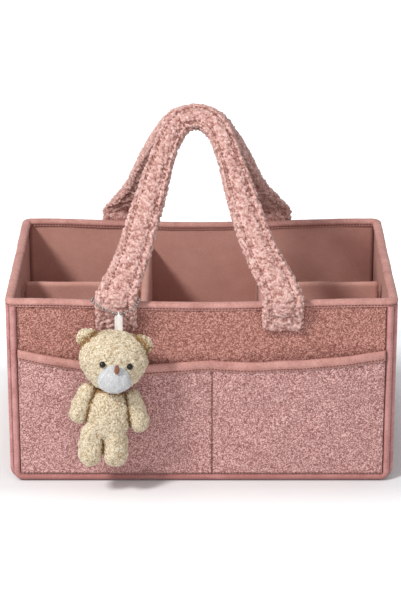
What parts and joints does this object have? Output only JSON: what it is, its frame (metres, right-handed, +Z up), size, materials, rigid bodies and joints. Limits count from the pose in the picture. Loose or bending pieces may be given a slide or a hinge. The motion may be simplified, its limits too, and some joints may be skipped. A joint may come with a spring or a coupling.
{
  "type": "diaper caddy",
  "caption": "Open fleece storage caddy with divided inside, outer pockets, two padded folding straps, lift-out dividers and a hanging plush bear charm.",
  "frame": {"origin": "middle of the flat underside of the box", "axes": "+X to the right along the width, -Y towards the front, +Z up"},
  "size_m": [0.38, 0.3205, 0.3561],
  "materials": {
    "fleece": "short curly fleece",
    "panel_fleece": "short curly fleece",
    "tape": "smooth woven tape",
    "boucle": "coarse curly fleece",
    "felt": "thin felt",
    "board": "plain stiff board",
    "foam": "soft filling",
    "hook": "hook tape",
    "plush": "curly plush",
    "muzzle": "short plush",
    "thread": "embroidery thread",
    "eye": "polished",
    "satin": "satin ribbon",
    "steel": "bright plated"
  },
  "bodies": {
    "caddy": {"gusset_fleece": "panel_fleece", "front_fleece": "panel_fleece", "back_fleece": "panel_fleece", "front_board": "board", "back_board": "board", "left_board": "board", "right_board": "board", "base_board": "board", "left_divider_board": "board", "right_divider_board": "board", "front_lining": "felt", "back_lining": "felt", "left_lining": "felt", "right_lining": "felt", "base_lining": "felt", "left_divider_cover": "felt", "right_divider_cover": "felt", "rim_binding": "tape", "front_edge_binding": "tape", "back_edge_binding": "tape", "gusset_front_binding": "tape", "gusset_back_binding": "tape", "front_pocket_binding": "tape", "back_pocket_binding": "tape", "front_pocket": "fleece", "back_pocket": "fleece", "front_left_foot": "boucle", "front_right_foot": "boucle", "back_left_foot": "boucle", "back_right_foot": "boucle", "ball_chain": "steel"},
    "front_handle": {"front_handle_sleeve": "boucle", "front_handle_core": "foam"},
    "back_handle": {"back_handle_sleeve": "boucle", "back_handle_core": "foam"},
    "left_divider": {"left_cross_divider": "felt", "left_cross_left_hook_tape": "hook", "left_cross_right_hook_tape": "hook"},
    "right_divider": {"right_cross_divider": "felt", "right_cross_left_hook_tape": "hook", "right_cross_right_hook_tape": "hook"},
    "bear_charm": {"bear_head": "plush", "bear_left_ear": "plush", "bear_right_ear": "plush", "bear_muzzle": "muzzle", "bear_nose": "thread", "bear_left_eye": "eye", "bear_right_eye": "eye", "bear_body": "plush", "bear_left_arm": "plush", "bear_right_arm": "plush", "bear_left_leg": "plush", "bear_right_leg": "plush", "satin_loop": "satin"}
  },
  "joints": [
    {"name": "front_handle_fold", "type": "hinge", "parent": "caddy", "child": "front_handle", "pos_m": [-0.002, -0.1374, 0.20015], "axis": [1, 0, 0], "range_deg": [0, 145]},
    {"name": "back_handle_fold", "type": "hinge", "parent": "caddy", "child": "back_handle", "pos_m": [-0.005, 0.1374, 0.20015], "axis": [-1, 0, 0], "range_deg": [0, 180]},
    {"name": "left_divider_lift", "type": "slide", "parent": "caddy", "child": "left_divider", "axis": [0, 0, 1], "range_m": [0, 0.19]},
    {"name": "right_divider_lift", "type": "slide", "parent": "caddy", "child": "right_divider", "axis": [0, 0, 1], "range_m": [0, 0.19]},
    {"name": "charm_swing", "type": "hinge", "parent": "caddy", "child": "bear_charm", "pos_m": [-0.0795, -0.1423, 0.1846], "axis": [0, 1, 0], "range_deg": [-20, 20]}
  ]
}
